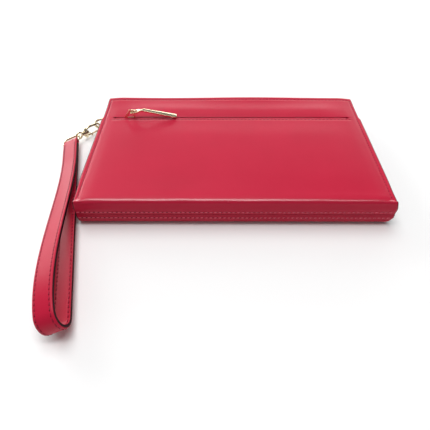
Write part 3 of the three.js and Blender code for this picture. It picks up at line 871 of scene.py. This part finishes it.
def sewWallet():
    half = walletSize["halfWidth"]
    inset = walletSize["stitchInset"]
    steps = 40
    xEdge = half - inset
    farEdge = coverLength - inset
    startAlong = 4 * mm
    perimeter = [(-xEdge, startAlong + (farEdge - startAlong) * k / steps) for k in range(steps)]
    perimeter += [(-xEdge + 2 * xEdge * k / steps, farEdge) for k in range(steps)]
    perimeter += [(xEdge, farEdge + (startAlong - farEdge) * k / steps) for k in range(steps + 1)]
    slotRow = slotCentre - cover["slotRow"]
    slotEnd = cover["slotHalfLength"] + 0.5 * mm
    underSlot = [(-slotEnd + 2 * slotEnd * k / steps, slotRow) for k in range(steps + 1)]
    # The cover's stitches take the thread darkened with painted shade.
    sew("cover_stitching", [coverLine(perimeter), coverLine(underSlot)], "front_half", threadInPaintedShade)
    lines = []
    for height in (sewnRows["upperSpineRow"], sewnRows["lowerSpineRow"]):
        out = spineY - 0.35 * mm
        lines.append([Vector((x, out, height)) for x in (-half + 2 * mm, 0, half - 2 * mm)])
    # The spine's stitches take the default thread, brightened with painted sheen.
    sew("spine_stitching", lines, "spine")
    z = -0.02 * mm
    backLine = [Vector((-xEdge, foldY + 4 * mm, z)), Vector((-xEdge, openY - inset, z))]
    backLine += [Vector((xEdge, openY - inset, z)), Vector((xEdge, foldY + 4 * mm, z))]
    sew("back_stitching", [backLine], "back_half")


sewWallet()


# Inside of the wallet

insideEdges = {"leaf": 0.16 * mm, "sheet": 0.1 * mm}


def makeInside():
    for name in nodes:
        body = "front_half" if name.startswith("front") or name.startswith("pocket") else "back_half"
        if "card_leaf" in name:
            softCopy(name + "_leather", name, body, innerLeather, insideEdges["leaf"])
        elif name == "front_lining" or name == "bill_pocket_panel":
            softCopy(name + "_leather", name, body, innerLeather, insideEdges["leaf"])
        elif name in ("back_lining", "pocket_lining_outer", "pocket_lining_inner"):
            softCopy(name + "_cloth", name, body, liningCloth, insideEdges["sheet"])
        elif name.endswith("_stiffener"):
            softCopy(name + "_board", name, body, backingBoard, insideEdges["sheet"])
        elif name.startswith("zip_tape"):
            softCopy(name + "_cloth", name, "front_half", zipTapeCloth, insideEdges["sheet"])
    softCopy("spine_lining_cloth", "spine_lining", "spine", liningCloth, insideEdges["sheet"])


leafSewing = {"inset": 2.2 * mm, "mouthGap": 1.2 * mm, "lift": 0.03 * mm}


def sewLeaves():
    inset = leafSewing["inset"]
    for half, turn in (("back", 1), ("front", -1)):
        tilt = math.tan(coverTilt) if half == "front" else 0.0
        lines = []
        for side in ("left", "right"):
            low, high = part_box(f"{half}_card_leaf_{side}_3")
            surfaceZ = (high if half == "back" else low)[2] + turn * leafSewing["lift"]
            baseY, mouthY = (low[1], high[1]) if half == "back" else (high[1], low[1])
            base = baseY + turn * inset
            mouth = mouthY - turn * leafSewing["mouthGap"]
            left = low[0] + inset
            right = high[0] - inset
            corners = ((left, mouth), (left, base), (right, base), (right, mouth))
            lines.append([Vector((x, y, surfaceZ + tilt * (high[1] - y))) for x, y in corners])
        sew(f"{half}_card_stitching", lines, f"{half}_half")


makeInside()
sewLeaves()
print("inside ready")


# Zip

zipTeeth = {"pitch": 1.5 * mm, "length": 0.85 * mm, "depth": 1.55 * mm, "height": 1.3 * mm, "edge": 0.15 * mm}


def makeTeeth():
    pitch = zipTeeth["pitch"]
    places = []
    for nodeName, shift in (("zip_teeth_upper", 0.0), ("zip_teeth_lower", 0.5)):
        low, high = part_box(nodeName)
        middle = [(low[i] + high[i]) / 2 for i in range(3)]
        for k in range(int((high[0] - low[0] - pitch) / pitch)):
            places.append((low[0] + pitch * (k + 0.75 + shift), middle[1], middle[2]))
    piece = makePiece("zip_teeth", places, [], [])
    sizes = (("Length", zipTeeth["length"]), ("Depth", zipTeeth["depth"]), ("Height", zipTeeth["height"]))
    tree, start, end = geometryTree("zip teeth", sizes, "Finish")
    make = tree.nodes.new
    link = tree.links.new
    tooth = make("GeometryNodeMeshCube")
    size = make("ShaderNodeCombineXYZ")
    for index, label in enumerate(("Length", "Depth", "Height")):
        link(start[label], size.inputs[index])
    link(size.outputs[0], tooth.inputs["Size"])
    points = make("GeometryNodeMeshToPoints")
    link(start["Geometry"], points.inputs[0])
    place = make("GeometryNodeInstanceOnPoints")
    link(points.outputs[0], place.inputs["Points"])
    link(tooth.outputs["Mesh"], place.inputs["Instance"])
    solid = make("GeometryNodeRealizeInstances")
    link(place.outputs[0], solid.inputs[0])
    paint = make("GeometryNodeSetMaterial")
    link(solid.outputs[0], paint.inputs["Geometry"])
    link(start["Finish"], paint.inputs["Material"])
    link(paint.outputs[0], end["Geometry"])
    applyTree(piece, tree, {"Finish": zipCoil})
    bevelEdges(piece, zipTeeth["edge"], 1)
    settle(piece)
    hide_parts("zip_teeth_upper", "zip_teeth_lower")
    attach(piece, "front_half")


def makeZipMetal():
    softCopy("zip_slider_metal", "zip_slider_body", "zip_slider", paleGold, 0.2 * mm, 3)
    softCopy("zip_pull_bar", "zip_pull", "zip_pull", paleGold, 0.3 * mm, 4)
    for side in ("left", "right"):
        softCopy(f"zip_stop_{side}_metal", f"zip_stop_{side}", "front_half", zipMetal, 0.25 * mm, 2)


makeTeeth()
makeZipMetal()
print("zip ready")


# Magnetic snap

def makeSnap():
    low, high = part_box("snap_socket")
    middle = Vector(((low[0] + high[0]) / 2, (low[1] + high[1]) / 2, low[2]))
    verts = []
    faces = []
    tall = high[2] - low[2]
    profile = [(0, 0), (6.7, 0), (7, 0.25), (7, 1.7), (6.8, 2.1), (6.3, tall / mm - 0.3), (6.0, tall / mm),
               (3.9, tall / mm), (3.6, tall / mm - 0.3), (3.6, 1.2), (3.3, 1.0), (0, 1.0)]
    outline = [(r * mm, z * mm) for r, z in profile]
    addLathe(verts, faces, outline, middle, Vector((0, 0, 1)), Vector((1, 0, 0)))
    socket = makePiece("snap_socket_metal", verts, faces, [paleGold])
    tidyMesh(socket)
    shadeSmooth(socket, 30)
    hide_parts("snap_socket")
    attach(socket, "back_half")
    softCopy("snap_case_metal", "snap_case", "front_half", paleGold, 0.3 * mm, 3, 30)
    softCopy("snap_stud_metal", "snap_stud", "front_half", paleGold, 0.3 * mm, 3, 30)


makeSnap()


# Ring, clasp and swivel

def metalPiece(name, verts, faces, body, replaced, sharpAngle=35):
    piece = makePiece(name, verts, faces, [paleGold])
    tidyMesh(piece)
    shadeSmooth(piece, sharpAngle)
    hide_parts(*replaced)
    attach(piece, body)
    return piece


sideRing = {"radius": 6.2 * mm, "leg": 7 * mm, "wire": 0.9 * mm, "corner": 1.2 * mm}
strapRing = {"half": 6.6 * mm, "reach": 5.5 * mm, "wire": 0.8 * mm, "corner": 3.4 * mm, "barCorner": 1.2 * mm}


def dShape(size, barCentre):
    radius = size["radius"]
    corner = size["corner"]
    flat = []  # (reach from the bar, place across it)
    for k in range(7):
        angle = math.pi / 2 * k / 6
        flat.append((corner * (1 - math.cos(angle)), radius - corner * (1 - math.sin(angle))))
    for k in range(25):
        angle = math.pi / 2 - math.pi * k / 24
        flat.append((size["leg"] + radius * math.cos(angle), radius * math.sin(angle)))
    for k in range(7):
        angle = math.pi / 2 * (1 - k / 6)
        flat.append((corner * (1 - math.cos(angle)), -radius + corner * (1 - math.sin(angle))))
    return [barCentre + Vector((-reach, across, 0)) for reach, across in flat]


def makeRings():
    points = dShape(sideRing, Vector(joints["ring_swing"]["pos_m"]))
    verts = []
    faces = []
    addTube(verts, faces, points, [sideRing["wire"]] * len(points), 16, True)
    metalPiece("side_ring_wire", verts, faces, "side_ring", ["side_ring"])
    points = []
    for side, far, radius in ((1, False, strapRing["barCorner"]), (1, True, strapRing["corner"]),
                              (-1, True, strapRing["corner"]), (-1, False, strapRing["barCorner"])):
        for k in range(9):
            turn = math.pi / 2 * (k / 8 if far == (side > 0) else 1 - k / 8)
            across = side * (strapRing["half"] - radius * (1 - math.cos(turn)))
            inset = radius * (1 - math.sin(turn))
            points.append(strapPoint(across, -(strapRing["reach"] - inset) if far else -inset, 0))
    verts = []
    faces = []
    addTube(verts, faces, points, [strapRing["wire"]] * len(points), 16, True)
    metalPiece("strap_ring_wire", verts, faces, "strap_ring", ["strap_ring"])
    softCopy("side_tab_leather", "side_tab", "back_half", cherryLeather, 0.25 * mm, 3)


strapAcross = -Vector(joints["strap_swing"]["axis"])
strapAlong = Vector((-strapAcross.y, strapAcross.x, 0)).normalized()
strapOut = strapAcross.cross(strapAlong)
strapOrigin = Vector(joints["strap_swing"]["pos_m"])


def strapPoint(across, along, out):
    return strapOrigin + strapAcross * across - strapAlong * along + strapOut * out


claspForward = Vector(joints["swivel_spin"]["axis"])
claspAcross = -Vector(joints["gate_hinge"]["axis"])
claspUp = claspForward.cross(claspAcross)
claspOrigin = Vector(joints["swivel_spin"]["pos_m"]) + claspForward * 12 * mm  # the hook's centre


def claspPoint(x, y, z):
    return claspOrigin + claspForward * (x * mm) + claspAcross * (y * mm) + claspUp * (z * mm)


clasp = {  # in millimetres, in the clasp's own frame
    "hookRadius": 3.35,
    "hookWire": 0.9,
    "hookWidth": 1.45,
    "noseAngle": -0.9,
    "eyeCentre": -15.85,
    "eyeRadius": 2.5,
    "eyeWire": 0.7,
    "coilLow": (-5.7, 0, -2.35),
    "coilHigh": (-7.0, 0, -1.15),
    "coilTurns": 3,
    "coilRadius": 0.5,
    "coilWire": 0.15,
    "coilKeep": 0.3,
}


def makeHook():
    verts = []
    faces = []
    path = []
    radii = []
    rear = [Vector((-10.2, 0.6, 0)), Vector((-10.4, 3.6, 0)), Vector((-7.5, 4.0, 0)), Vector((-4.0, 3.5, 0))]
    for k in range(9):
        point = bezier(*rear, k / 8)
        path.append(claspPoint(point.x, 0, point.y))
        radii.append(1.15 - 0.3 * k / 8)
    path.append(claspPoint(-2, 0, 3.36))
    radii.append(0.84)
    for k in range(15):
        angle = math.pi / 2 + (clasp["noseAngle"] - math.pi / 2) * k / 14
        radius = clasp["hookRadius"]
        path.append(claspPoint(radius * math.cos(angle), 0, radius * math.sin(angle)))
        radii.append(0.84 - 0.12 * (k / 14) ** 2)
    radii = [r * clasp["hookWire"] * mm for r in radii]
    addTube(verts, faces, path, radii, 18, False, (clasp["hookWidth"], 1.0), claspUp)
    barrel = [(0, -11.6), (1.55, -11.6), (1.8, -11.4), (1.8, -10.9), (1.6, -10.7), (2.0, -10.4), (2.05, -9.3),
              (1.75, -8.9), (1.85, -8.6), (1.6, -8.4), (0, -8.4)]
    addLathe(verts, faces, [(r * mm, x * mm) for r, x in barrel], claspOrigin, claspForward, claspUp, 36)
    for side in (-1, 1):
        ear = [(0, 0), (1.25, 0), (1.35, 0.1), (1.35, 0.45), (1.25, 0.55), (0, 0.55)]
        base = claspPoint(-9.8, side * 0.75, -2.5)
        addLathe(verts, faces, [(r * mm, y * mm) for r, y in ear], base, claspAcross * side, claspForward, 24)
    metalPiece("clasp_hook_metal", verts, faces, "clasp", ["clasp_hook"])


def makeGate():
    verts = []
    faces = []
    lever = [(-11.0, -2.6, 0.55), (-10.4, -2.7, 0.75), (-9.8, -2.72, 0.8), (-8.6, -2.8, 0.7),
             (-7.0, -2.95, 0.62), (-5.0, -3.05, 0.6), (-3.0, -3.05, 0.58), (-1.0, -2.95, 0.55),
             (0.4, -2.8, 0.52), (1.1, -2.65, 0.42)]  # (forward, up, radius)
    path = [claspPoint(x, 0, z) for x, z, _ in lever]
    addTube(verts, faces, path, [r * mm for _, _, r in lever], 14, False, (1.15, 1.0), claspUp)
    thumb = [(0, -1.3), (0.45, -1.2), (0.75, -0.9), (0.8, -0.55), (0.6, -0.2), (0.5, 0.2), (0, 0.2)]
    thumbBase = claspPoint(-4.6, 0, -3.3)
    addLathe(verts, faces, [(r * mm, z * mm) for r, z in thumb], thumbBase, claspUp, claspForward, 20)
    metalPiece("clasp_gate_metal", verts, faces, "clasp_gate", ["clasp_gate"])


def makeSwivel():
    verts = []
    faces = []
    eye = []
    for k in range(32):
        angle = 2 * math.pi * k / 32
        forward = clasp["eyeCentre"] + clasp["eyeRadius"] * math.cos(angle)
        eye.append(claspPoint(forward, 0, clasp["eyeRadius"] * math.sin(angle)))
    addTube(verts, faces, eye, [clasp["eyeWire"] * mm] * len(eye), 14, True)
    collar = [(0, -13.6), (1.0, -13.6), (1.45, -13.2), (1.5, -12.4), (1.3, -12.0), (1.5, -11.8),
              (1.45, -11.7), (0.85, -11.65), (0, -11.65)]
    addLathe(verts, faces, [(r * mm, x * mm) for r, x in collar], claspOrigin, claspForward, claspUp, 30)
    head = [(0, -8.45), (0.85, -8.45), (1.5, -8.3), (1.5, -7.9), (1.1, -7.6), (0, -7.6)]
    addLathe(verts, faces, [(r * mm, x * mm) for r, x in head], claspOrigin, claspForward, claspUp, 30)
    metalPiece("swivel_eye_metal", verts, faces, "swivel", ["swivel_eye"])


def makeGateSpring():
    low = claspPoint(*clasp["coilLow"])
    high = claspPoint(*clasp["coilHigh"])
    coilUp = (high - low).normalized().cross(claspAcross)
    sides = 10
    steps = clasp["coilTurns"] * sides
    coil = []
    for k in range(steps + 1):
        angle = 2 * math.pi * k / sides
        ring = claspAcross * math.cos(angle) + coilUp * math.sin(angle)
        coil.append(low.lerp(high, k / steps) + ring * clasp["coilRadius"] * mm)
    verts = []
    faces = []
    addTube(verts, faces, coil, [clasp["coilWire"] * mm] * len(coil), 6)
    spring = metalPiece("gate_spring_coil", verts, faces, "clasp", ["gate_spring"])
    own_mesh(spring)


def finishGatePin():
    pin = nodes["gate_pin"]
    pin.data.materials.clear()
    pin.data.materials.append(paleGold)


makeRings()
makeHook()
makeGate()
makeSwivel()
finishGatePin()
makeGateSpring()
print("hardware ready")


# Wrist strap: an outer and an inner layer of leather, sewn along both edges

strap = {
    "length": 155.5 * mm,
    "width": 11 * mm,
    "layer": 0.75 * mm,
    "bendRadius": 7 * mm,
    "neckHalf": 0.9 * mm,
    "neckLength": 22 * mm,
    "leaveAngle": math.radians(74),
    "stitchInset": 1.5 * mm,
    "innerStart": 4 * mm,  # the inner layer starts this far from the ring's bar
    "archPull": 30 * mm,
}


def strapPath(withNeckEnd):
    neck = strap["neckHalf"]
    bend = (strap["length"] - strap["bendRadius"], strap["bendRadius"] - neck)
    radius = strap["bendRadius"]
    leave = strap["leaveAngle"]
    path = []  # (point, outward direction) in the strap's side view
    if withNeckEnd:
        for k in range(17):
            angle = 1.5 * math.pi - math.pi * k / 16
            out = Vector((math.cos(angle), math.sin(angle)))
            path.append((out * neck, out))
        for k in range(1, 10):
            path.append((Vector((strap["neckLength"] * k / 10, neck)), Vector((0, 1))))
    else:
        for k in range(10):
            along = strap["innerStart"] + (strap["neckLength"] - strap["innerStart"]) * k / 10
            path.append((Vector((along, neck)), Vector((0, 1))))
    archEnd = Vector((bend[0] + radius * math.cos(leave), bend[1] + radius * math.sin(leave)))
    controls = [Vector((strap["neckLength"], neck)), Vector((strap["length"] * 0.42, 2.2 * mm)),
                archEnd + Vector((-math.sin(leave), math.cos(leave))) * strap["archPull"], archEnd]
    steps = 56
    for k in range(steps):
        t = k / steps
        ahead = bezier(*controls, t + 0.004) - bezier(*controls, max(t - 0.004, 0))
        ahead.normalize()
        path.append((bezier(*controls, t), Vector((-ahead.y, ahead.x))))
    for k in range(25):
        angle = leave - (leave + math.pi / 2) * k / 24
        out = Vector((math.cos(angle), math.sin(angle)))
        path.append((Vector(bend) + out * radius, out))
    start = 0.0 if withNeckEnd else strap["innerStart"]
    steps = 44
    for k in range(1, steps if withNeckEnd else steps + 1):
        along = bend[0] + (start - bend[0]) * k / steps
        path.append((Vector((along, -neck)), Vector((0, -1))))
    return path


def strapLayer(name, path, low, high, closed, replaced):
    half = strap["width"] / 2
    edge = 0.3 * mm
    dome = 0.12 * mm
    section = [(-half, low + edge * 0.4), (-half, (low + high) / 2), (-half, high - edge),
               (-half + edge, high)]
    inner = 8
    for k in range(1, inner):
        across = -half + edge + (2 * half - 2 * edge) * k / inner
        section.append((across, high + dome * math.sin(math.pi * k / inner) ** 0.6))
    section += [(half - edge, high), (half, high - edge), (half, (low + high) / 2), (half, low + edge * 0.4)]
    section += [(half - edge * 0.5, low), (0, low), (-half + edge * 0.5, low)]
    verts = []
    for point, out in path:
        for across, lift in section:
            place = point + out * lift
            verts.append(strapPoint(across, place.x, place.y))
    faces = []
    faceMaterials = []
    size = len(section)
    rings = len(path) if closed else len(path) - 1
    for i in range(rings):
        for k in range(size):
            a = i * size + k
            b = i * size + (k + 1) % size
            shift = ((i + 1) % len(path)) * size
            faces.append((a, b, shift + (k + 1) % size, shift + k))
            innermost = min(abs(section[k][0]), abs(section[(k + 1) % size][0]))
            faceMaterials.append(1 if innermost > half - 0.01 * mm else 0)
    if not closed:
        faces.append(tuple(range(size))[::-1])
        faces.append(tuple((len(path) - 1) * size + k for k in range(size)))
        faceMaterials += [1, 1]
    piece = makePiece(name, verts, faces, [cherryLeather, edgePaint], faceMaterials)
    tidyMesh(piece)
    shadeSmooth(piece, 50)
    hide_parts(replaced)
    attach(piece, "strap")


def makeStrap():
    layer = strap["layer"]
    outerPath = strapPath(True)
    innerPath = strapPath(False)
    strapLayer("strap_outer_layer", outerPath, 0.02 * mm, layer, True, "strap_outer_leather")
    strapLayer("strap_inner_layer", innerPath, -0.02 * mm, -layer + 0.06 * mm, False, "strap_inner_leather")
    edge = strap["width"] / 2 - strap["stitchInset"]
    lines = []
    for across in (-edge, edge):
        for lift, path in ((layer + 0.05 * mm, outerPath), (-layer + 0.05 * mm, innerPath)):
            places = [point + out * lift for point, out in path[18:-4]]
            lines.append([strapPoint(across, place.x, place.y) for place in places])
    # The strap's stitches take the thread darkened with painted shade.
    sew("strap_stitching", lines, "strap", threadInPaintedShade)


makeStrap()
print("strap ready")


# Floor, light and camera

studio = {"fill": 0.22, "sun": 1.25, "floorSize": 9.0, "floorZ": -0.5 * mm}
softboxes = {  # place, target and size in metres, power in watts
    "back softbox": ((0.0, 1.3, 0.3), (0, 0, 0), (2.6, 0.34), 11.0),
    "top softbox": ((0.0, -0.1, 1.2), (0, -0.05, 0), (1.1, 0.3), 6.5),
    "left softbox": ((-1.1, 0.9, 0.5), (-0.1, 0, 0), (0.9, 0.6), 9.0),
}
view = {
    "lens": 33.48,
    "sensor": 36,
    "place": (-10.4 * mm, -222.7 * mm, 183.0 * mm),
    "turn": (90 - 46.87, 0.1, 0.23),  # degrees
    "nearClip": 0.01,
}


def makeStage():
    floorMaterial = bpy.data.materials.new("studio floor")
    floorMaterial.use_nodes = True
    shader = floorMaterial.node_tree.nodes["Principled BSDF"]
    shader.inputs["Base Color"].default_value = (0.93, 0.93, 0.93, 1)
    shader.inputs["Roughness"].default_value = 0.75
    size = studio["floorSize"]
    corners = [(x * size, y * size, studio["floorZ"]) for x, y in ((-1, -1), (1, -1), (1, 1), (-1, 1))]
    floor = makePiece("studio_floor", corners, [(0, 1, 2, 3)], [floorMaterial])
    world = bpy.data.worlds.new("studio")
    world.use_nodes = True
    world.node_tree.nodes["Background"].inputs["Color"].default_value = (1, 1, 1, 1)
    world.node_tree.nodes["Background"].inputs["Strength"].default_value = studio["fill"]
    scene.world = world


def softLight(name, place, target, size, power):
    data = bpy.data.lights.new(name, "AREA")
    data.shape = "RECTANGLE"
    data.size = size[0]
    data.size_y = size[1]
    data.energy = power
    light = bpy.data.objects.new(name, data)
    light.location = place
    light.rotation_euler = (Vector(target) - Vector(place)).to_track_quat("-Z", "Y").to_euler()
    scene.collection.objects.link(light)


def sunLight():
    data = bpy.data.lights.new("high window", "SUN")
    data.angle = math.radians(40)
    data.energy = studio["sun"]
    light = bpy.data.objects.new("high window", data)
    light.rotation_euler = Vector((0.15, -0.42, -1.0)).to_track_quat("-Z", "Y").to_euler()
    scene.collection.objects.link(light)


def makeCamera():
    data = bpy.data.cameras.new("camera")
    data.lens = view["lens"]
    data.sensor_width = view["sensor"]
    data.clip_start = view["nearClip"]
    camera = bpy.data.objects.new("camera", data)
    camera.location = view["place"]
    camera.rotation_euler = [math.radians(angle) for angle in view["turn"]]
    scene.collection.objects.link(camera)
    scene.camera = camera


makeStage()
sunLight()
for name, (place, target, size, power) in softboxes.items():
    softLight(name, place, target, size, power)
makeCamera()
scene.view_settings.view_transform = "Standard"
